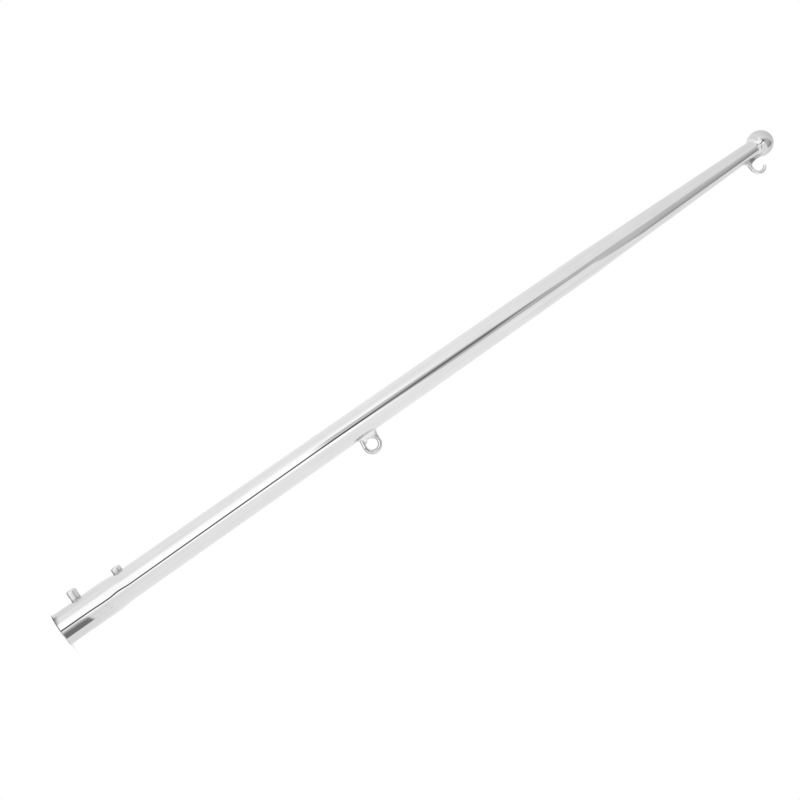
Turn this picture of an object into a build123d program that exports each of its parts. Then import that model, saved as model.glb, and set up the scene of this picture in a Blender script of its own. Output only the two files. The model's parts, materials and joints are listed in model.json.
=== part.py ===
from build123d import *
import os
from math import asin, cos, degrees, sin, sqrt

# Boat flagpole in polished stainless steel, in millimetres.
# The origin is the centre of the tube's lower rim and +Z runs up the pole to the ball.
# The flag hook and the halyard eye stand on the +X side, the two locating pins on the -X side.

# Pole tube: widened socket end, plain run, short shoulder, long taper
pole_diameter = 25.1
pole_wall = 1.2
pole_length = 795.7
rim_round = 0.5
socket_diameter = 27.0
socket_length = 46.0
swage_length = 10.0
swage_round = 40.0
taper_length = 230.7
shoulder_length = 33.0
shoulder_diameter = 23.25
taper_round = 1000.0
tip_diameter = 16.4

# Ball finial and the weld that closes the notch under it
ball_diameter = 26.7
finial_weld_leg = 2.4
finial_weld_hollow = 6.0

# Flag hook: a round rod with a leg straight out of the pole and one open bend towards the ball
hook_rod_diameter = 3.9
hook_below_tip = 15.2
hook_bend_reach = 16.4
hook_bend_radius = 8.2
hook_turn = 150.0
hook_tip_round = 1.5

# Halyard eye: a forged staple on two leaning legs, thickest at its outer end
eye_height = 290.3
eye_stand_off = 8.7
eye_bend_radius = 7.1
eye_leg_lean = 8.0
eye_leg_diameter = 3.5
eye_end_diameter = 4.5

# Weld feet: long ovals on the pole that draw in to the rod, the hook's as far as the ball
foot_overrun = 0.1
hook_foot_back = 10.5
hook_foot_ahead = 22.0
hook_foot_width = 6.4
hook_foot_rise = 6.0
hook_foot_lip = 0.2
hook_rise_shares = (0.0, 0.42, 0.55, 0.72, 1.0)
hook_back_shares = (1.0, 0.26, 0.12, 0.04, 0.0)
hook_ahead_shares = (1.0, 0.94, 0.34, 0.06, 0.0)
eye_foot_back = 11.7
eye_foot_ahead = 11.0
eye_foot_width = 7.0
eye_foot_rise = 5.7
eye_foot_top_back = 5.3
eye_foot_top_ahead = 8.5
eye_foot_top_width = 6.4
eye_foot_lap = 0.2
eye_rise_shares = (0.0, 0.43, 0.66, 1.0)
eye_flare_shares = (1.0, 0.26, 0.08, 0.0)

# Locating pins pressed through the tube's wall
pin_diameter = 8.0
pin_round = 1.8
lower_pin_height = 22.1
lower_pin_proud = 8.8
upper_pin_height = 59.1
upper_pin_proud = 4.8

# Sizes that follow from the ones above
pole_radius = pole_diameter / 2
socket_radius = socket_diameter / 2
tip_radius = tip_diameter / 2
ball_radius = ball_diameter / 2
hook_rod_radius = hook_rod_diameter / 2
swage_end = socket_length + swage_length
taper_start = pole_length - taper_length
shoulder_end = taper_start + shoulder_length
taper_slope = (shoulder_diameter - tip_diameter) / 2 / (pole_length - shoulder_end)
hook_height = pole_length - hook_below_tip
hook_seat_radius = tip_radius + hook_below_tip * taper_slope
ball_height = pole_length + sqrt(ball_radius**2 - tip_radius**2)
eye_reach = pole_radius + eye_stand_off
eye_foot_hollow = eye_bend_radius - eye_leg_diameter / 2 - eye_foot_lap


def turned_form(inset):
    """Solid of revolution that lies inset inside the pole's outer skin."""
    with BuildPart() as form:
        with BuildSketch(Plane.XZ):
            with BuildLine():
                skin = FilletPolyline(
                    (socket_radius - inset, 0),
                    (socket_radius - inset, socket_length),
                    (pole_radius - inset, swage_end),
                    (pole_radius - inset, taper_start),
                    (shoulder_diameter / 2 - inset, shoulder_end),
                    (tip_radius - inset, pole_length),
                    radius=(swage_round, swage_round, taper_round, taper_round),
                )
                Polyline(skin @ 1, (0, pole_length), (0, 0), skin @ 0)
            make_face()
        revolve(axis=Axis.Z)
    return form.part


pole_outside = turned_form(0)
pole_bore = turned_form(pole_wall)


# Ball finial, welded on the coped tip of the tube
with BuildPart() as ball_finial:
    with Locations((0, 0, ball_height)):
        Sphere(ball_radius)


# Locating pins: plain round pins, flush with the bore inside and proud of the tube outside
def locating_pin(height, seat_radius, proud):
    """Pin on the -X side whose inner end follows the bore."""
    with BuildPart() as pin:
        with BuildSketch(Plane(origin=(0, 0, height), x_dir=(0, 1, 0), z_dir=(-1, 0, 0))):
            Circle(pin_diameter / 2)
        extrude(amount=seat_radius + proud)
        fillet(pin.faces().sort_by(Axis.X)[0].edges(), radius=pin_round)
        add(pole_bore, mode=Mode.SUBTRACT)
    return pin


lower_pin = locating_pin(lower_pin_height, socket_radius, lower_pin_proud)
upper_pin = locating_pin(upper_pin_height, pole_radius, upper_pin_proud)


# Pole tube, drilled for the pins and coped to the ball
with BuildPart() as pole_tube:
    add(pole_outside)
    add(pole_bore, mode=Mode.SUBTRACT)
    fillet(pole_tube.edges().group_by(Axis.Z)[0].sort_by(SortBy.LENGTH)[-1], radius=rim_round)
    add(ball_finial.part, mode=Mode.SUBTRACT)
    add([lower_pin.part, upper_pin.part], mode=Mode.SUBTRACT)


# Finial weld: a hollow bead in the notch between the taper and the ball
with BuildPart() as finial_weld:
    ball_bottom_angle = -90
    notch_angle = asin(tip_radius / ball_radius)
    bead_angle = notch_angle + finial_weld_leg / ball_radius
    notch = (tip_radius, pole_length)
    bead_foot = (tip_radius + finial_weld_leg * taper_slope, pole_length - finial_weld_leg)
    bead_top = (ball_radius * sin(bead_angle), ball_height - ball_radius * cos(bead_angle))
    with BuildSketch(Plane.XZ):
        with BuildLine():
            Line(notch, bead_foot)
            RadiusArc(bead_foot, bead_top, finial_weld_hollow)
            CenterArc(
                (0, ball_height),
                ball_radius,
                start_angle=degrees(bead_angle) + ball_bottom_angle,
                arc_size=degrees(notch_angle - bead_angle),
            )
        make_face()
    revolve(axis=Axis.Z)


# Flag hook, bent from the rod
with BuildPart() as flag_hook:
    with BuildLine(Plane.XZ):
        leg = Line((0, hook_height), (hook_bend_reach, hook_height))
        JernArc(start=leg @ 1, tangent=leg % 1, radius=hook_bend_radius, arc_size=hook_turn)
    with BuildSketch(Plane(origin=(0, 0, hook_height), z_dir=(1, 0, 0))):
        Circle(hook_rod_radius)
    sweep()
    hook_end = flag_hook.faces().filter_by(GeomType.PLANE).sort_by(Axis.Z)[-1]
    fillet(hook_end.edges(), radius=hook_tip_round)
    add(pole_outside, mode=Mode.SUBTRACT)


# Halyard eye: one half from its outer end down a leg to the tube, and its mirror image
with BuildPart() as halyard_eye:
    with BuildLine(Plane.XZ):
        bend = CenterArc(
            (eye_reach, eye_height), eye_bend_radius, start_angle=0, arc_size=90 + eye_leg_lean
        )
        leg = Line(bend @ 1, bend @ 1 + (bend % 1) * eye_reach)
    for centre, along, diameter in (
        (bend @ 0, bend % 0, eye_end_diameter),
        (bend @ 1, bend % 1, eye_leg_diameter),
        (leg @ 1, leg % 1, eye_leg_diameter),
    ):
        with BuildSketch(Plane(origin=centre, z_dir=along)):
            Circle(diameter / 2)
    sweep(multisection=True)
    mirror(about=Plane.XY.offset(eye_height))
    add(pole_outside, mode=Mode.SUBTRACT)


# Weld feet of the hook and the eye
def weld_foot(height, seat_radius, rise, root, top, rise_shares, back_shares, ahead_shares):
    """Flared foot at a height on the +X side, lofted from the root oval to the top oval.

    Each oval is its reach back to the socket, its reach ahead to the ball and its width.
    """
    root_back, root_ahead, root_width = root
    top_back, top_ahead, top_width = top
    root_sag = seat_radius - sqrt(seat_radius**2 - (root_width / 2) ** 2)
    bury = root_sag + root_ahead * taper_slope + foot_overrun
    with BuildPart() as foot:
        for rise_share, back_share, ahead_share in zip(rise_shares, back_shares, ahead_shares):
            reach = seat_radius - bury + rise_share * (rise + bury)
            back = top_back + back_share * (root_back - top_back)
            ahead = top_ahead + ahead_share * (root_ahead - top_ahead)
            width = top_width + back_share * (root_width - top_width)
            middle = height + (ahead - back) / 2
            with BuildSketch(Plane(origin=(reach, 0, middle), x_dir=(0, 0, 1), z_dir=(1, 0, 0))):
                Ellipse((ahead + back) / 2, width / 2)
        loft()
        add(pole_outside, mode=Mode.SUBTRACT)
    return foot.part


hook_foot_top = hook_rod_radius + hook_foot_lip
with BuildPart() as hook_weld:
    add(
        weld_foot(
            hook_height,
            hook_seat_radius,
            hook_foot_rise,
            root=(hook_foot_back, hook_foot_ahead, hook_foot_width),
            top=(hook_foot_top, hook_foot_top, 2 * hook_foot_top),
            rise_shares=hook_rise_shares,
            back_shares=hook_back_shares,
            ahead_shares=hook_ahead_shares,
        )
    )
    add([flag_hook.part, ball_finial.part, finial_weld.part], mode=Mode.SUBTRACT)

with BuildPart() as eye_weld:
    add(
        weld_foot(
            eye_height,
            pole_radius,
            eye_foot_rise,
            root=(eye_foot_back, eye_foot_ahead, eye_foot_width),
            top=(eye_foot_top_back, eye_foot_top_ahead, eye_foot_top_width),
            rise_shares=eye_rise_shares,
            back_shares=eye_flare_shares,
            ahead_shares=eye_flare_shares,
        )
    )
    with BuildSketch(Plane(origin=(eye_reach, 0, eye_height), x_dir=(1, 0, 0), z_dir=(0, 1, 0))):
        Circle(eye_foot_hollow)
    extrude(amount=eye_foot_width, both=True, mode=Mode.SUBTRACT)
    add(halyard_eye.part, mode=Mode.SUBTRACT)


# One labelled STEP file for each piece
pieces = {
    "pole_tube": pole_tube,
    "ball_finial": ball_finial,
    "finial_weld": finial_weld,
    "flag_hook": flag_hook,
    "hook_weld": hook_weld,
    "halyard_eye": halyard_eye,
    "eye_weld": eye_weld,
    "lower_pin": lower_pin,
    "upper_pin": upper_pin,
}
os.makedirs("parts", exist_ok=True)
for name, piece in pieces.items():
    piece.part.label = name
    export_step(piece.part, f"parts/{name}.step")
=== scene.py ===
import json
from math import cos, degrees, pi, radians, sin

import bmesh
import bpy
from mathutils import Matrix, Vector


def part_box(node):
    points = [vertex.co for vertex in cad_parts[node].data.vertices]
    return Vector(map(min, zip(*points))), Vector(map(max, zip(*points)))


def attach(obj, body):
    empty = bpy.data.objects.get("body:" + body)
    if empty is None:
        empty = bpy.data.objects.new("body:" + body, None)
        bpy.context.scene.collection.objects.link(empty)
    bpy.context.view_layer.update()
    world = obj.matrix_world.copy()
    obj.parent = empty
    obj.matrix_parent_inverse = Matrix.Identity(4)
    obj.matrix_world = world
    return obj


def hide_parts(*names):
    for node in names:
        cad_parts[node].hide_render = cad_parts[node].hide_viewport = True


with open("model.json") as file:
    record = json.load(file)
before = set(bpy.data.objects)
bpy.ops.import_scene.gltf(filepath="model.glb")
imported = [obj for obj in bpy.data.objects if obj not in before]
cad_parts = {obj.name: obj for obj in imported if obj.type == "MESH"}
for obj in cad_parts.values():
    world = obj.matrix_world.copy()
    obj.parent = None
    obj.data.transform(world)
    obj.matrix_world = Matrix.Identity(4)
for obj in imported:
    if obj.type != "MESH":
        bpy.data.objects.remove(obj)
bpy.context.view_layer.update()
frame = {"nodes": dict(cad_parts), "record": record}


# Pole tube
# A drawn stainless tube, swaged out at its foot to slip over a spigot, plain for most of its
# length, then drawn down over a short shoulder into a long taper. It is cut square and mirror
# polished.
tube_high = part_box("pole_tube")[1]
millimetre = 0.001
socket_bore_radius = millimetre * next(
    mount["dims"]["r_mm"] for mount in frame["record"]["mounts"] if mount["name"] == "socket_bore"
)
tube_sizes = {
    "Sides": 160,
    "Length": tube_high.z,
    "Wall": tube_high.x - socket_bore_radius,
    "Rim round": 0.0005,
    "Socket radius": tube_high.x,
    "Socket length": 0.046,
    "Swage length": 0.010,
    "Swage blend": 0.00011,
    "Pole radius": 0.01255,
    "Taper length": 0.2307,
    "Taper blend": 0.00029,
    "Shoulder length": 0.033,
    "Shoulder radius": 0.011625,
    "Tip radius": 0.0082,
}
rim_land_top = 3  # in rounds of the rim
quarter_turn = pi / 2


class Wire:
    """An output socket of a node tree. Sums on wires add Math nodes to that tree."""

    def __init__(self, socket):
        self.socket = socket

    @staticmethod
    def node(tree, kind, settings=None, inputs=None, output=0):
        """Add a node, set its settings and then its sockets, and return the wire of one output."""
        node = tree.nodes.new(kind)
        for name, value in (settings or {}).items():
            setattr(node, name, value)
        for name, value in (inputs or {}).items():
            for item in value if isinstance(value, list) else [value]:
                if isinstance(item, Wire):
                    tree.links.new(item.socket, node.inputs[name])
                else:
                    node.inputs[name].default_value = item
        return Wire(node.outputs[output]) if node.outputs else None

    def output(self, name):
        """Another output of the same node."""
        return Wire(self.socket.node.outputs[name])

    def math(self, operation, *values):
        """A Math node whose sockets take the values in order, where None stands for this wire."""
        values = values if None in values else (None, *values)
        sockets = {place: self if value is None else value for place, value in enumerate(values)}
        return Wire.node(self.socket.id_data, "ShaderNodeMath", {"operation": operation}, sockets)

    def __add__(self, other):
        return self.math("ADD", other)

    def __sub__(self, other):
        return self.math("SUBTRACT", other)

    def __rsub__(self, other):
        return self.math("SUBTRACT", other, None)

    def __mul__(self, other):
        return self.math("MULTIPLY", other)

    def __truediv__(self, other):
        return self.math("DIVIDE", other)

    def __rtruediv__(self, other):
        return self.math("DIVIDE", other, None)

    __radd__ = __add__
    __rmul__ = __mul__


def axes(vector):
    """The x, y and z of a vector."""
    x = Wire.node(vector.socket.id_data, "ShaderNodeSeparateXYZ", inputs={"Vector": vector})
    return x, x.output("Y"), x.output("Z")


def shape_tree(name, sizes):
    """A Geometry Nodes tree with a named input for each size, and the wires of those inputs."""
    tree = bpy.data.node_groups.new(name, "GeometryNodeTree")
    tree.interface.new_socket("Piece", in_out="OUTPUT", socket_type="NodeSocketGeometry")
    for size, value in sizes.items():
        kind = "NodeSocketInt" if isinstance(value, int) else "NodeSocketFloat"
        tree.interface.new_socket(size, in_out="INPUT", socket_type=kind)
    tree.interface.new_socket("Finish", in_out="INPUT", socket_type="NodeSocketMaterial")
    inputs = tree.nodes.new("NodeGroupInput").outputs
    return tree, {socket.name: Wire(socket) for socket in inputs if socket.name}


def skin_band(tree, sides, rows, ring, place):
    """A band of skin: ring gives the radius and run of each row, and place where its points go."""
    grid_size = 1.0
    grid = Wire.node(
        tree,
        "GeometryNodeMeshGrid",
        inputs={
            "Size X": grid_size,
            "Size Y": grid_size,
            "Vertices X": sides + 1,
            "Vertices Y": rows,
        },
    )
    turn, share, _ = axes(Wire.node(tree, "GeometryNodeInputPosition"))
    angle = (turn + grid_size / 2) * (2 * pi)
    share = share + grid_size / 2
    radius, run = ring(share)
    run = 0 * share + run
    x, y, z = place(radius * angle.math("COSINE"), radius * angle.math("SINE"), run)
    point = Wire.node(tree, "ShaderNodeCombineXYZ", inputs={"X": x, "Y": y, "Z": z})
    return Wire.node(tree, "GeometryNodeSetPosition", inputs={"Geometry": grid, "Position": point})


def close_skin(tree, inputs, place, bands, weld_distance=2e-6, crease_angle=0.6):
    """Join the bands, each a ring with its rows, into one skin with creases, and end the tree."""
    skin = [skin_band(tree, inputs["Sides"], rows, ring, place) for ring, rows in bands.items()]
    joined = Wire.node(tree, "GeometryNodeJoinGeometry", inputs={"Geometry": skin})
    closed = Wire.node(
        tree,
        "GeometryNodeMergeByDistance",
        inputs={"Geometry": joined, "Distance": weld_distance},
    )
    smooth = Wire.node(
        tree,
        "GeometryNodeSetShadeSmooth",
        {"domain": "FACE"},
        {"Geometry": closed, "Shade Smooth": True},
    )
    crease = Wire.node(tree, "GeometryNodeInputMeshEdgeAngle").math("GREATER_THAN", crease_angle)
    creased = Wire.node(
        tree,
        "GeometryNodeSetShadeSmooth",
        {"domain": "EDGE"},
        {"Geometry": smooth, "Selection": crease, "Shade Smooth": False},
    )
    real = Wire.node(tree, "GeometryNodeRealizeInstances", inputs={"Geometry": creased})
    painted = Wire.node(
        tree,
        "GeometryNodeSetMaterial",
        inputs={"Geometry": real, "Material": inputs["Finish"]},
    )
    Wire.node(tree, "NodeGroupOutput", inputs={"Piece": painted})


def shaped_piece(name, tree, sizes, finish):
    """Run a shape tree with these sizes and keep the result as a plain mesh."""
    piece = bpy.data.objects.new(name, bpy.data.meshes.new(name))
    bpy.context.scene.collection.objects.link(piece)
    shaping = piece.modifiers.new("shape", "NODES")
    shaping.node_group = tree
    identifiers = {
        item.name: item.identifier
        for item in tree.interface.items_tree
        if item.in_out == "INPUT"
    }
    for size, value in {**sizes, "Finish": finish}.items():
        shaping[identifiers[size]] = value
    evaluated = piece.evaluated_get(bpy.context.evaluated_depsgraph_get())
    made = bpy.data.meshes.new_from_object(evaluated)
    piece.modifiers.remove(shaping)
    piece.data = made
    return piece


tube_tree, tube = shape_tree("swaged and tapered tube", tube_sizes)


def tube_radius(height):
    """Outer radius of the tube at a height, with the swage and the taper rounded in."""
    swage_slope = (tube["Socket radius"] - tube["Pole radius"]) / tube["Swage length"]
    swage = tube["Socket radius"] - (height - tube["Socket length"]) * swage_slope
    taper_start = tube["Length"] - tube["Taper length"]
    shoulder_slope = (tube["Pole radius"] - tube["Shoulder radius"]) / tube["Shoulder length"]
    shoulder = tube["Pole radius"] - (height - taper_start) * shoulder_slope
    taper_slope = (tube["Shoulder radius"] - tube["Tip radius"]) / (
        tube["Taper length"] - tube["Shoulder length"]
    )
    taper = tube["Tip radius"] + (tube["Length"] - height) * taper_slope
    foot = swage.math("SMOOTH_MIN", tube["Socket radius"], tube["Swage blend"])
    straight = foot.math("SMOOTH_MAX", tube["Pole radius"], tube["Swage blend"])
    drawn = shoulder.math("SMOOTH_MAX", taper, tube["Taper blend"])
    return straight.math("SMOOTH_MIN", drawn, tube["Taper blend"])


def upright(across, side, run):
    """Place of a skin point on a piece whose axis is the pole's own."""
    return across, side, run


def outer_skin(share):
    land_top = tube["Rim round"] * rim_land_top
    height = land_top + (tube["Length"] - land_top) * share
    return tube_radius(height), height


def tip_face(share):
    return tube["Tip radius"] - tube["Wall"] * share, tube["Length"]


def bore_skin(share):
    height = tube["Length"] * (1 - share)
    return tube_radius(height) - tube["Wall"], height


def rim_face(share):
    bore = tube["Socket radius"] - tube["Wall"]
    return bore + (tube["Wall"] - tube["Rim round"]) * share, 0.0


def rim_corner(share):
    swing = share * quarter_turn
    inset = tube["Rim round"] * (1 - swing.math("SINE"))
    return tube["Socket radius"] - inset, tube["Rim round"] * (1 - swing.math("COSINE"))


def rim_land(share):
    return tube["Socket radius"], tube["Rim round"] * (1 + (rim_land_top - 1) * share)


tube_bands = {outer_skin: 240, tip_face: 2, bore_skin: 120, rim_face: 3, rim_corner: 7, rim_land: 3}
close_skin(tube_tree, tube, upright, tube_bands)


def past(value, edge, soft):
    """0 before an edge and 1 past it, with a soft step between."""
    return Wire.node(
        value.socket.id_data,
        "ShaderNodeMapRange",
        {"interpolation_type": "SMOOTHSTEP"},
        {"Value": value, "From Min": edge - soft, "From Max": edge + soft},
    )


def patch(across, up, left=None, right=None, low=None, high=None):
    """1 on a patch of a surface. Each edge is its place and softness, and a side may be open."""
    inside = 1.0
    for value, start, end in ((across, left, right), (up, low, high)):
        if start:
            inside = inside * past(value, *start)
        if end:
            inside = inside * (1 - past(value, *end))
    return inside


def noise(spot, scale, detail):
    """A cloudy pattern about a middle of 0.5."""
    return Wire.node(
        spot.socket.id_data,
        "ShaderNodeTexNoise",
        inputs={"Vector": spot, "Scale": scale, "Detail": detail},
    )


def bare_finish(name):
    """A material with no nodes but its Object coordinates, its tree and their wire."""
    finish = bpy.data.materials.new(name)
    finish.use_nodes = True
    tree = finish.node_tree
    tree.nodes.clear()
    return finish, tree, Wire.node(tree, "ShaderNodeTexCoord", output="Object")


def end_steel(tree, level, blue, roughness, relief):
    """End a finish's tree as bare steel of this grey level, blue share, roughness and relief."""
    colour = Wire.node(
        tree,
        "ShaderNodeCombineColor",
        inputs={"Red": level, "Green": level, "Blue": blue * level},
    )
    steel = Wire.node(
        tree,
        "ShaderNodeBsdfPrincipled",
        inputs={
            "Base Color": colour,
            "Metallic": 1.0,
            "Roughness": roughness,
            "Normal": Wire.node(tree, "ShaderNodeBump", inputs=relief),
        },
    )
    Wire.node(tree, "ShaderNodeOutputMaterial", inputs={"Surface": steel})


def polished_steel(name, grain, haze_scale, tone, roughness, relief, marks_and_shade=None):
    """Polished stainless steel. Grain scales the faint polishing lines along each axis."""
    line_depth, haze_depth, noise_middle = 0.16, 0.10, 0.5
    least_rough, haze_rough, line_rough = 0.6, 0.5, 0.3
    finish, tree, spot = bare_finish(name)
    along = Wire.node(tree, "ShaderNodeMapping", inputs={"Vector": spot, "Scale": grain})
    lines = noise(along, scale=1.0, detail=4.0)
    haze = noise(spot, scale=haze_scale, detail=3.0)
    level = tone + line_depth * (lines - noise_middle) + haze_depth * (haze - noise_middle)
    if marks_and_shade:
        level = level * (1 - marks_and_shade(spot))
    end_steel(
        tree,
        level,
        blue=1.004,
        roughness=roughness * (least_rough + haze_rough * haze + line_rough * lines),
        relief={"Strength": relief, "Distance": 0.0002, "Height": lines},
    )
    return finish


def tube_marks_and_shade(spot):
    """Painted dark reflection along the lowest edge of the rim on one side, scuffs above it, and
    heat tint under the eye's foot.
    """
    rim_edge_shade_depth, heat_tint_depth, scuff_depth = 0.75, 0.22, 0.12
    x, _, height = axes(spot)
    # painted dark reflection: the rim's lowest edge on one side is darkened as if it mirrored
    # something dark below
    painted_rim_edge_shade = patch(x, height, right=(0.003, 0.005), high=(0.0008, 0.0004))
    heat_tint = patch(x, height, left=(0.0103, 0.0012), low=(0.2765, 0.002), high=(0.2865, 0.002))
    scuffed = patch(
        x,
        height,
        left=(0.003, 0.001),
        right=(0.010, 0.001),
        low=(0.027, 0.003),
        high=(0.047, 0.003),
    )
    scuffs = scuffed * past(noise(spot, scale=420.0, detail=2.0), edge=0.6, soft=0.05)
    return rim_edge_shade_depth * painted_rim_edge_shade + heat_tint_depth * heat_tint + scuff_depth * scuffs


# The tube's finish carries a painted dark reflection along one side of its rim, besides its scuffs
# and heat tint.
tube_steel = polished_steel(
    "drawn_steel_polished",
    grain=(600.0, 600.0, 7.0),
    haze_scale=26.0,
    tone=0.74,
    roughness=0.03,
    relief=0.02,
    marks_and_shade=tube_marks_and_shade,
)
pole_skin = shaped_piece("swaged_tube", tube_tree, tube_sizes, tube_steel)
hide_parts("pole_tube")
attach(pole_skin, "root")


# Locating pins
# Two round steel pins pressed through the wall of the tube, one in the socket and a shorter one
# above it. They are turned from bar, rounded at the outer end and left with a satin finish.
pin_sides = 96
pin_end_round = 0.0018
pin_inner_lip = 0.0001


def pin_sizes(node):
    """Sizes of a pin, read from its solid."""
    low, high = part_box(node)
    return {
        "Sides": pin_sides,
        "Radius": (high.y - low.y) / 2,
        "Height": (high.z + low.z) / 2,
        "Inner end": -high.x - pin_inner_lip,
        "Outer end": -low.x,
        "End round": pin_end_round,
    }


pin_tree, pin = shape_tree("rounded pin", pin_sizes("lower_pin"))


def across_the_pole(across, side, run):
    """Place of a skin point on a pin, whose axis runs out along -X."""
    return -1 * run, side, pin["Height"] + across


def pin_inner_face(share):
    return pin["Radius"] * share, pin["Inner end"]


def pin_shank(share):
    shank = pin["Outer end"] - pin["End round"] - pin["Inner end"]
    return pin["Radius"], pin["Inner end"] + shank * share


def pin_corner(share):
    swing = share * quarter_turn
    inset = pin["End round"] * (1 - swing.math("COSINE"))
    return pin["Radius"] - inset, pin["Outer end"] - pin["End round"] * (1 - swing.math("SINE"))


def pin_outer_face(share):
    return (pin["Radius"] - pin["End round"]) * (1 - share), pin["Outer end"]


pin_bands = {pin_inner_face: 3, pin_shank: 12, pin_corner: 11, pin_outer_face: 5}
close_skin(pin_tree, pin, across_the_pole, pin_bands)


def pin_root_shade(spot):
    """Painted contact shade on a pin, in the corner where it comes out of the tube."""
    root_shade_depth = 0.3
    socket_corner, pole_step = -0.0144, 0.0009
    x, _, height = axes(spot)
    corner = socket_corner + pole_step * past(height, edge=0.04, soft=0.005)
    # painted shade: the pin is darkened from inside the tube to just past where it comes out
    return root_shade_depth * past(x, edge=corner, soft=0.0005)


# The pins' finish carries painted contact shade at their roots.
pin_steel = polished_steel(
    "pin_steel_turned",
    grain=(40.0, 450.0, 450.0),
    haze_scale=90.0,
    tone=0.72,
    roughness=0.26,
    relief=0.002,
    marks_and_shade=pin_root_shade,
)
for node, name in {"lower_pin": "lower_locating_pin", "upper_pin": "upper_locating_pin"}.items():
    turned_pin = shaped_piece(name, pin_tree, pin_sizes(node), pin_steel)
    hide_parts(node)
    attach(turned_pin, "root")


# Ball finial
# A steel ball that the tip of the tube is coped to and welded under, then polished all over.
# The polishing lines run round it.
ball_low, ball_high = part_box("ball_finial")
ball_sizes = {
    "Sides": 160,
    "Radius": (ball_high.z - ball_low.z) / 2,
    "Height": (ball_high.z + ball_low.z) / 2,
}
ball_tree, ball = shape_tree("finial ball", ball_sizes)


def ball_skin(share):
    latitude = (2 * share - 1) * quarter_turn
    return (
        ball["Radius"] * latitude.math("COSINE"),
        ball["Height"] + ball["Radius"] * latitude.math("SINE"),
    )


ball_bands = {ball_skin: 121}
close_skin(ball_tree, ball, upright, ball_bands)
ball_steel = polished_steel(
    "ball_steel_polished",
    grain=(160.0, 160.0, 420.0),
    haze_scale=60.0,
    tone=0.645,
    roughness=0.04,
    relief=0.015,
)
finial_ball = shaped_piece("finial_ball", ball_tree, ball_sizes, ball_steel)
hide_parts("ball_finial")
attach(finial_ball, "root")


# Welds under the ball and the hook
# A hollow bead under the ball and a flared foot that runs from the hook's leg to it, in stainless
# filler. They are ground back and polished. A slight ripple is left, and a heat tint by the leg.
weld_join = 1e-6
weld_crease_angle = 0.5
weld_tone, pit_tone = 0.67, 0.16
weld_roughness, pit_roughness = 0.16, 0.12
pit_relief = 0.2
hook_tint_spot = (0.0105, -0.002, 0.7848)
hook_tint_reach = 0.0036
hook_tint_level = 0.45
bead_steel, bead_tree, bead_spot = bare_finish("weld_steel_polished_back")
ripple = noise(bead_spot, scale=420.0, detail=2.0)
pits = noise(bead_spot, scale=1800.0, detail=3.0)
hook_distance = Wire.node(
    bead_tree,
    "ShaderNodeVectorMath",
    {"operation": "DISTANCE"},
    {0: bead_spot, 1: hook_tint_spot},
    output="Value",
)
untinted = past(hook_distance, edge=hook_tint_reach, soft=hook_tint_reach / 2)
end_steel(
    bead_tree,
    (weld_tone + pit_tone * pits) * (hook_tint_level + (1 - hook_tint_level) * untinted),
    blue=1.01,
    roughness=weld_roughness + pit_roughness * pits,
    relief={"Strength": 0.15, "Distance": 0.0004, "Height": ripple + pit_relief * pits},
)
welds = {"finial_weld": "finial_weld_bead", "hook_weld": "hook_weld_foot"}
for node, name in welds.items():
    skin = bmesh.new()
    skin.from_mesh(frame["nodes"][node].data)
    bmesh.ops.remove_doubles(skin, verts=skin.verts, dist=weld_join)
    for face in skin.faces:
        face.smooth = True
        face.material_index = 0
    for edge in skin.edges:
        edge.smooth = edge.calc_face_angle(pi) < weld_crease_angle
    bead = bpy.data.objects.new(name, bpy.data.meshes.new(name))
    skin.to_mesh(bead.data)
    skin.free()
    bead.data.materials.append(bead_steel)
    bpy.context.scene.collection.objects.link(bead)
    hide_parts(node)
    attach(bead, "root")


# Flag hook
# A length of round rod that stands straight out of the pole and turns back towards the ball in one
# open bend. Its end is rounded over, its leg is welded to the taper, and it is polished to a satin.
hook_low, hook_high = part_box("flag_hook")
hook_rod_radius = (hook_high.y - hook_low.y) / 2
hook_bend_radius = 0.0082
hook_root_bury = 0.0006
hook_root = hook_low.x - hook_root_bury
hook_sizes = {
    "Sides": 64,
    "Rod radius": hook_rod_radius,
    "Root": hook_root,
    "Height": hook_low.z + hook_rod_radius,
    "Leg": hook_high.x - hook_rod_radius - hook_bend_radius - hook_root,
    "Bend radius": hook_bend_radius,
    "Turn": radians(150),
    "Tip round": 0.0015,
}
hook_tree, hook = shape_tree("bent hook", hook_sizes)
hook_run = hook["Leg"] + hook["Bend radius"] * hook["Turn"]


def bent(across, side, run):
    """Place of a skin point on the hook's rod, which runs out along +X and then bends up to +Z."""
    past_leg = run - hook["Leg"]
    swing = past_leg.math("MAXIMUM", 0.0) / hook["Bend radius"]
    arm = hook["Bend radius"] - across
    out = hook["Root"] + hook["Leg"] + past_leg.math("MINIMUM", 0.0)
    return (
        out + arm * swing.math("SINE"),
        -1 * side,
        hook["Height"] + hook["Bend radius"] - arm * swing.math("COSINE"),
    )


def hook_root_face(share):
    return hook["Rod radius"] * share, 0.0


def hook_rod(share):
    return hook["Rod radius"], (hook_run - hook["Tip round"]) * share


def hook_tip_corner(share):
    swing = share * quarter_turn
    inset = hook["Tip round"] * (1 - swing.math("COSINE"))
    return hook["Rod radius"] - inset, hook_run - hook["Tip round"] * (1 - swing.math("SINE"))


def hook_tip_face(share):
    return (hook["Rod radius"] - hook["Tip round"]) * (1 - share), hook_run


hook_bands = {hook_root_face: 3, hook_rod: 90, hook_tip_corner: 9, hook_tip_face: 3}
close_skin(hook_tree, hook, bent, hook_bands)
hook_steel = polished_steel(
    "hook_steel_satin",
    grain=(420.0, 900.0, 420.0),
    haze_scale=140.0,
    tone=0.79,
    roughness=0.18,
    relief=0.005,
)
bent_hook = shaped_piece("bent_hook", hook_tree, hook_sizes, hook_steel)
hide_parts("flag_hook")
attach(bent_hook, "root")


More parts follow.
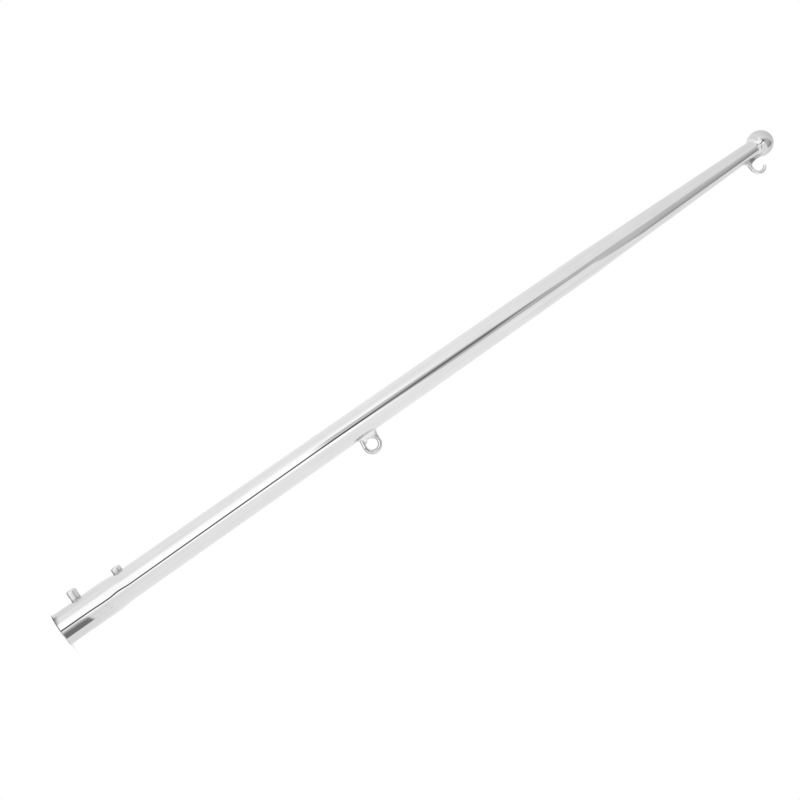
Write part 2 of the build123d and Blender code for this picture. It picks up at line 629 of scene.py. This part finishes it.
# Halyard eye
# A forged staple of round rod, thickest at its outer end, whose two legs lean in to the pole and
# are welded to it through one long foot. It is polished more brightly than the hook.
eye_low, eye_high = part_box("halyard_eye")
eye_end_radius = (eye_high.y - eye_low.y) / 2
eye_bend_radius = 0.0071
eye_lean = radians(8)
eye_root_bury = 0.0006
eye_bend_out = eye_high.x - eye_end_radius - eye_bend_radius
eye_leg_top = eye_bend_out - eye_bend_radius * sin(eye_lean)
eye_sizes = {
    "Sides": 64,
    "Leg radius": 0.00175,
    "End radius": eye_end_radius,
    "Out": eye_bend_out,
    "Height": (eye_low.z + eye_high.z) / 2,
    "Bend radius": eye_bend_radius,
    "Swing": quarter_turn + eye_lean,
    "Leg": (eye_leg_top - eye_low.x + eye_root_bury) / cos(eye_lean),
}
eye_tree, eye = shape_tree("staple eye", eye_sizes)
eye_half_run = eye["Bend radius"] * eye["Swing"] + eye["Leg"]


def eye_swing(run):
    """Angle round the bend at a run counted from the outer end, held along the legs."""
    swing = run / eye["Bend radius"]
    return swing.math("MINIMUM", eye["Swing"]).math("MAXIMUM", -1 * eye["Swing"])


def stapled(across, side, run):
    """Place of a skin point on the eye's rod."""
    swing = eye_swing(run)
    past_bend = run - eye["Bend radius"] * swing
    arm = eye["Bend radius"] + across
    return (
        eye["Out"] + arm * swing.math("COSINE") - past_bend * swing.math("SINE"),
        side,
        eye["Height"] + arm * swing.math("SINE") + past_bend * swing.math("COSINE"),
    )


def eye_first_foot(share):
    return eye["Leg radius"] * share, -1 * eye_half_run


def eye_rod(share):
    run = eye_half_run * (2 * share - 1)
    swell = ((eye_swing(run) * pi / eye["Swing"]).math("COSINE") + 1) / 2
    return eye["Leg radius"] + (eye["End radius"] - eye["Leg radius"]) * swell, run


def eye_last_foot(share):
    return eye["Leg radius"] * (1 - share), eye_half_run


eye_bands = {eye_first_foot: 3, eye_rod: 141, eye_last_foot: 3}
close_skin(eye_tree, eye, stapled, eye_bands)
eye_steel = polished_steel(
    "eye_steel_polished",
    grain=(420.0, 900.0, 420.0),
    haze_scale=140.0,
    tone=0.70,
    roughness=0.025,
    relief=0.005,
)
halyard_staple = shaped_piece("halyard_staple", eye_tree, eye_sizes, eye_steel)
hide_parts("halyard_eye")
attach(halyard_staple, "root")


# Eye foot
# The weld that carries the eye: built up between its legs, dressed flat on both sides, hollowed to
# the eye's opening and flared on to the tube. It is ground back and polished like the others.
foot_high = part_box("eye_weld")[1]
foot_bury = 0.001
foot_sizes = {
    "Sides": 128,
    "Seat": tube_sizes["Pole radius"] - foot_bury,
    "Top": foot_high.x,
    "Height": eye_sizes["Height"],
    "Root back": 0.0117,
    "Root ahead": 0.0110,
    "Root width": 0.0070,
    "Top back": 0.0053,
    "Top ahead": 0.0085,
    "Top width": 0.0060,
    "Flare": 3.0,
    "Corners": 9.0,
    "Lift ahead": 0.0012,
    "Lift start": 0.001,
    "Lift end": 0.007,
    "Hollow out": eye_sizes["Out"],
    "Hollow radius": 0.00515,
}
foot_tree, foot = shape_tree("flared and hollowed foot", foot_sizes)


def foot_squaring(across, side):
    """How far a point of a disc is pushed out so that the disc turns into a rounded square."""
    least = 1e-4
    length = (across * across + side * side).math("SQRT")
    corner = across.math("ABSOLUTE").math("POWER", foot["Corners"])
    corner = corner + side.math("ABSOLUTE").math("POWER", foot["Corners"])
    return length / corner.math("POWER", 1 / foot["Corners"]).math("MAXIMUM", least)


def foot_place(across, side, climb):
    """Place of a skin point on the foot: across runs up the pole, and climb out from the tube."""
    flare = (1 - climb).math("POWER", foot["Flare"])
    back = foot["Top back"] + (foot["Root back"] - foot["Top back"]) * flare
    ahead = foot["Top ahead"] + (foot["Root ahead"] - foot["Top ahead"]) * flare
    width = foot["Top width"] + (foot["Root width"] - foot["Top width"]) * flare
    squaring = foot_squaring(across, side)
    run = (ahead - back) / 2 + (ahead + back) / 2 * across * squaring
    hollow = foot["Hollow radius"] * foot["Hollow radius"] - run * run
    hollow_depth = hollow.math("MAXIMUM", 0.0).math("SQRT")
    lift_soft = (foot["Lift end"] - foot["Lift start"]) / 2
    lift = foot["Lift ahead"] * past(run, foot["Lift start"] + lift_soft, lift_soft)
    out = foot["Seat"] + (foot["Top"] + lift - foot["Seat"]) * climb
    return (
        out.math("MINIMUM", foot["Hollow out"] - hollow_depth),
        width / -2 * side * squaring,
        foot["Height"] + run,
    )


def foot_root(share):
    return share, 0.0


def foot_flank(share):
    return 1.0, share


def foot_crown(share):
    return 1 - share, 1.0


foot_bands = {foot_root: 3, foot_flank: 32, foot_crown: 10}
close_skin(foot_tree, foot, foot_place, foot_bands)
eye_foot = shaped_piece("eye_weld_foot", foot_tree, foot_sizes, bead_steel)
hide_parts("eye_weld")
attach(eye_foot, "root")


# Camera
# It stands low, near the foot of the pole, looks up a little and is rolled, so that the pole runs
# across the picture.
camera_spot = Vector((0.0, -0.8367, 0.0697))
camera_ahead = Vector((0.0046, 0.9536, 0.3010))
camera_roll = radians(55.03)
camera_data = bpy.data.cameras.new("camera")
camera_data.lens = 45.0
camera_data.sensor_width = 36.0
camera_data.clip_start = 0.01
camera = bpy.data.objects.new("camera", camera_data)
camera.matrix_world = (
    Matrix.Translation(camera_spot)
    @ camera_ahead.to_track_quat("-Z", "Y").to_matrix().to_4x4()
    @ Matrix.Rotation(camera_roll, 4, "Z")
)
bpy.context.scene.collection.objects.link(camera)
bpy.context.scene.camera = camera


# Studio surround
# A round tent of white light about the pole, with a brighter softbox, a dark gap, a grey screen and
# darker patches low down, and a grey card hung nearer to the pole. Only reflections see them, and
# they give the steel its bands. Across is in degrees from the camera, and up in metres on the pole.
wall_sides = 96
tent_radius = 1.255
tent_low, tent_high = -1.6, 3.6
card_radius = 0.40
card_low, card_high = 0.6, 1.75
card_start, card_span = -110, 170


def wall_corners(radius, turns, low, high):
    """Corners of a round wall: its lower ring and then its upper one."""
    return [
        (radius * cos(turn), radius * sin(turn), level) for level in (low, high) for turn in turns
    ]


def stage_mesh(name, corners, faces, finish):
    """A stage piece from its corners and faces."""
    stage = bpy.data.objects.new(name, bpy.data.meshes.new(name))
    stage.data.from_pydata(corners, [], faces)
    stage.data.materials.append(finish)
    finish.cycles.emission_sampling = "NONE"
    bpy.context.scene.collection.objects.link(stage)
    return stage


def hide_from_all_but_mirrors(stage):
    """Leave a stage piece to be seen in reflections alone."""
    stage.visible_camera = False
    stage.visible_diffuse = False
    stage.visible_shadow = False
    stage.visible_transmission = False


def seen_place(spot, radius):
    """Where the pole mirrors a round wall: degrees from the camera's side, metres up the pole."""
    x, y, z = axes(spot)
    reach = radius / -camera_spot.y
    across = x.math("ARCTAN2", -1 * y) * degrees(1)
    return across, (z + reach * camera_spot.z) / (1 + reach)


def leaning(value, place, slope, at):
    """An edge that leans: it has its place where the value is at, and moves by the slope."""
    return place + slope * (value - at)


tent_light, tent_tree, tent_spot = bare_finish("tent_light")
across, up = seen_place(tent_spot, tent_radius)
away = across.math("ABSOLUTE")
widening = past(up, edge=0.12, soft=0.12)

# The cloth's light in steps up the tent, and the softbox in it
cloth_light, softbox_light = 1.01, 0.33
cloth_steps = ((0.025, 0.2, 0.1), (-0.13, 0.575, 0.275), (-0.10, 1.3, 0.2))
light = cloth_light
for step, edge, soft in cloth_steps:
    light = light + step * past(up, edge, soft)
softbox_left = leaning(widening, place=-44.0, slope=-7.0, at=0.0)
softbox_soft = leaning(widening, place=10.0, slope=11.0, at=0.0)
light = light + softbox_light * patch(
    across, up, left=(softbox_left, softbox_soft), right=(17.0, 7.0), high=(0.35, 0.09)
)

# The gap, upright at the foot and leaning over above it
gap_place, gap_step = 2.9, 3.0
gap_low_half, gap_half_step, gap_half_spread = 2.8, 1.6, 0.7
gap_soft = 2.5
gap_most_lean = -11.285
gap_lean = leaning(up, place=0.0, slope=-61.0, at=0.06)
gap_lean = gap_lean.math("MINIMUM", 0.0).math("MAXIMUM", gap_most_lean)
gap_middle = gap_place + gap_step * past(up, edge=0.03, soft=0.01) + gap_lean
gap_half = gap_low_half + gap_half_step * past(up, edge=-0.03, soft=0.03)
gap_half = gap_half + gap_half_spread * widening
gap_left = (gap_middle - gap_half, gap_soft)
gap_right = (gap_middle + gap_half, gap_soft)
gap = patch(across, up, left=gap_left, right=gap_right, high=(0.325, 0.05))

# The screen, which widens upwards, with a hem along one side and a darker core
screen_left_side = -5.5
screen_right_side = leaning(up, place=22.5, slope=20.0, at=0.44)
screen_left = leaning(up, place=-34.0, slope=113.0, at=0.28).math("MINIMUM", screen_left_side)
screen_right = leaning(up, place=4.0, slope=175.0, at=0.295).math("MINIMUM", screen_right_side)
screen = patch(
    across,
    up,
    left=(screen_left, 5.0),
    right=(screen_right, 3.0),
    low=(0.249, 0.016),
    high=(0.64, 0.04),
)
screen_depth = leaning(past(up, edge=0.40, soft=0.08), place=0.48, slope=-0.12, at=0.0)
screen_hem = patch(
    across, up, left=(12.0, 3.0), right=(21.0, 4.0), low=(0.45, 0.04), high=(0.56, 0.04)
)
core_end = past(up, edge=0.455, soft=0.03)
core_place = -3.5
core_middle = leaning(up, place=core_place, slope=25.0, at=0.36).math("MAXIMUM", core_place)
core_left_half, core_left_soft = 7.0, 9.0
core_right_half = leaning(core_end, place=8.0, slope=-5.0, at=0.0)
core_right_soft = leaning(core_end, place=9.0, slope=-4.0, at=0.0)
screen_core = patch(
    across,
    up,
    left=(core_middle - core_left_half, core_left_soft),
    right=(core_middle + core_right_half, core_right_soft),
    low=(0.318, 0.05),
    high=(0.492, 0.045),
)

# The darker patches low on the tent and behind the pole
tent_foot = (-0.03, 0.015)
kerb_top = leaning(across, place=0.0229, slope=0.00007, at=35.0)
kerb = patch(
    across, up, left=(26.0, 15.0), right=(69.0, 2.5), low=tent_foot, high=(kerb_top, 0.001)
)
kerb_fringe = patch(
    across, up, left=(0.0, 6.0), right=(34.0, 8.0), low=tent_foot, high=(0.019, 0.006)
)
rim_shade_top = leaning(across, place=0.003, slope=-0.00003, at=-105.0)
rim_shade = patch(
    across, up, left=(-111.0, 8.0), right=(-44.0, 10.0), low=tent_foot, high=(rim_shade_top, 0.001)
)
foot_front = patch(across, up, left=(-85.0, 15.0), right=(30.0, 10.0))
foot_shade = (1 - foot_front) * patch(across, up, high=(0.03, 0.04))
back_shade = patch(away, up, left=(112.0, 12.0), high=(-0.12, 0.06))
back_gap = patch(away, up, left=(166.0, 3.0), low=(-0.05, 0.05), high=(0.5, 0.1))

for darker, depth in (
    (gap, 0.97),
    (screen, screen_depth),
    (screen_hem, 0.2),
    (screen_core, 0.82),
    (kerb, 0.77),
    (kerb_fringe, 0.24),
    (rim_shade, 0.6),
    (foot_shade, 0.11),
    (back_shade, 0.5),
    (back_gap, 0.7),
):
    light = light * (1 - depth * darker)
tent_glow = Wire.node(tent_tree, "ShaderNodeEmission", inputs={"Strength": light})
Wire.node(tent_tree, "ShaderNodeOutputMaterial", inputs={"Surface": tent_glow})
tent_turns = [radians(360 * side / wall_sides) for side in range(wall_sides)]
tent_walls = [
    (side, wall_sides + side, wall_sides + (side + 1) % wall_sides, (side + 1) % wall_sides)
    for side in range(wall_sides)
]
tent_ends = [tuple(range(wall_sides)), tuple(range(wall_sides, 2 * wall_sides))]
tent = stage_mesh(
    "studio_tent",
    wall_corners(tent_radius, tent_turns, tent_low, tent_high),
    tent_walls + tent_ends,
    tent_light,
)
hide_from_all_but_mirrors(tent)

# The card, cut to its slanting edges, with a darker hem
card_grey, card_tree, card_spot = bare_finish("card_grey")
card_across, card_up = seen_place(card_spot, card_radius)
card_right_side = 69.0
card_right = leaning(card_up, place=29.0, slope=580.0, at=0.565).math("MINIMUM", card_right_side)
card_top = leaning(card_across, place=0.85, slope=0.003, at=10.0)
card_cut = patch(
    card_across,
    card_up,
    left=(-3.0, 6.0),
    right=(card_right, 3.0),
    low=(0.575, 0.015),
    high=(card_top, 0.12),
)
card_hem = patch(card_across, card_up, left=(47.0, 8.0), high=(0.7, 0.04))
card_hem_depth = 0.09
card_most_fall = -0.0072
card_fall = leaning(card_up, place=0.0, slope=-0.036, at=0.6).math("MAXIMUM", card_most_fall)
card_level = leaning(card_across, place=0.645, slope=card_fall, at=10.0)
card_level = card_level - card_hem_depth * card_hem
card_glow = Wire.node(card_tree, "ShaderNodeEmission", inputs={"Strength": card_level})
card_clear = Wire.node(card_tree, "ShaderNodeBsdfTransparent")
card_mix = Wire.node(
    card_tree, "ShaderNodeMixShader", inputs={0: card_cut, 1: card_clear, 2: card_glow}
)
Wire.node(card_tree, "ShaderNodeOutputMaterial", inputs={"Surface": card_mix})
card_turns = [radians(card_start + card_span * side / wall_sides) for side in range(wall_sides + 1)]
card_walls = [
    (side, side + 1, len(card_turns) + side + 1, len(card_turns) + side)
    for side in range(wall_sides)
]
card = stage_mesh(
    "studio_card",
    wall_corners(card_radius, card_turns, card_low, card_high),
    card_walls,
    card_grey,
)
hide_from_all_but_mirrors(card)


# Floor, lamp and white background
# A pale floor under the rim that keeps the pole's shadow and fades out round it, one large soft
# lamp and a plain white world.
floor_reach = 1.2
floor_fade, floor_fade_soft = 0.34, 0.14
floor_colour = (0.9, 0.9, 0.9, 1.0)
white = (1.0, 1.0, 1.0, 1.0)
floor_paint, floor_tree, floor_spot = bare_finish("floor_paint")
floor_distance = Wire.node(
    floor_tree, "ShaderNodeVectorMath", {"operation": "LENGTH"}, {0: floor_spot}, output="Value"
)
floor_matt = Wire.node(
    floor_tree,
    "ShaderNodeBsdfPrincipled",
    inputs={
        "Base Color": floor_colour,
        "Roughness": 1.0,
        "Specular IOR Level": 0.0,
        "Emission Color": white,
        "Emission Strength": 0.12,
    },
)
floor_clear = Wire.node(floor_tree, "ShaderNodeBsdfTransparent")
floor_mix = Wire.node(
    floor_tree,
    "ShaderNodeMixShader",
    inputs={0: past(floor_distance, floor_fade, floor_fade_soft), 1: floor_matt, 2: floor_clear},
)
Wire.node(floor_tree, "ShaderNodeOutputMaterial", inputs={"Surface": floor_mix})
floor = stage_mesh(
    "studio_floor",
    [(x * floor_reach, y * floor_reach, 0.0) for x, y in ((-1, -1), (1, -1), (1, 1), (-1, 1))],
    [(0, 1, 2, 3)],
    floor_paint,
)
floor.visible_glossy = False
lamp_spot = Vector((-0.9, -0.7, 1.9))
lamp_aim = Vector((0.0, 0.0, 0.3))
lamp_data = bpy.data.lights.new("soft_lamp", "AREA")
lamp_data.size = 1.6
lamp_data.energy = 12.0
lamp = bpy.data.objects.new("soft_lamp", lamp_data)
lamp.matrix_world = Matrix.Translation(lamp_spot) @ (
    (lamp_aim - lamp_spot).to_track_quat("-Z", "Y").to_matrix().to_4x4()
)
lamp.visible_glossy = False
bpy.context.scene.collection.objects.link(lamp)
world = bpy.data.worlds.new("studio")
bpy.context.scene.world = world
world.use_nodes = True
world.node_tree.nodes["Background"].inputs["Color"].default_value = white
bpy.context.scene.view_settings.view_transform = "Standard"
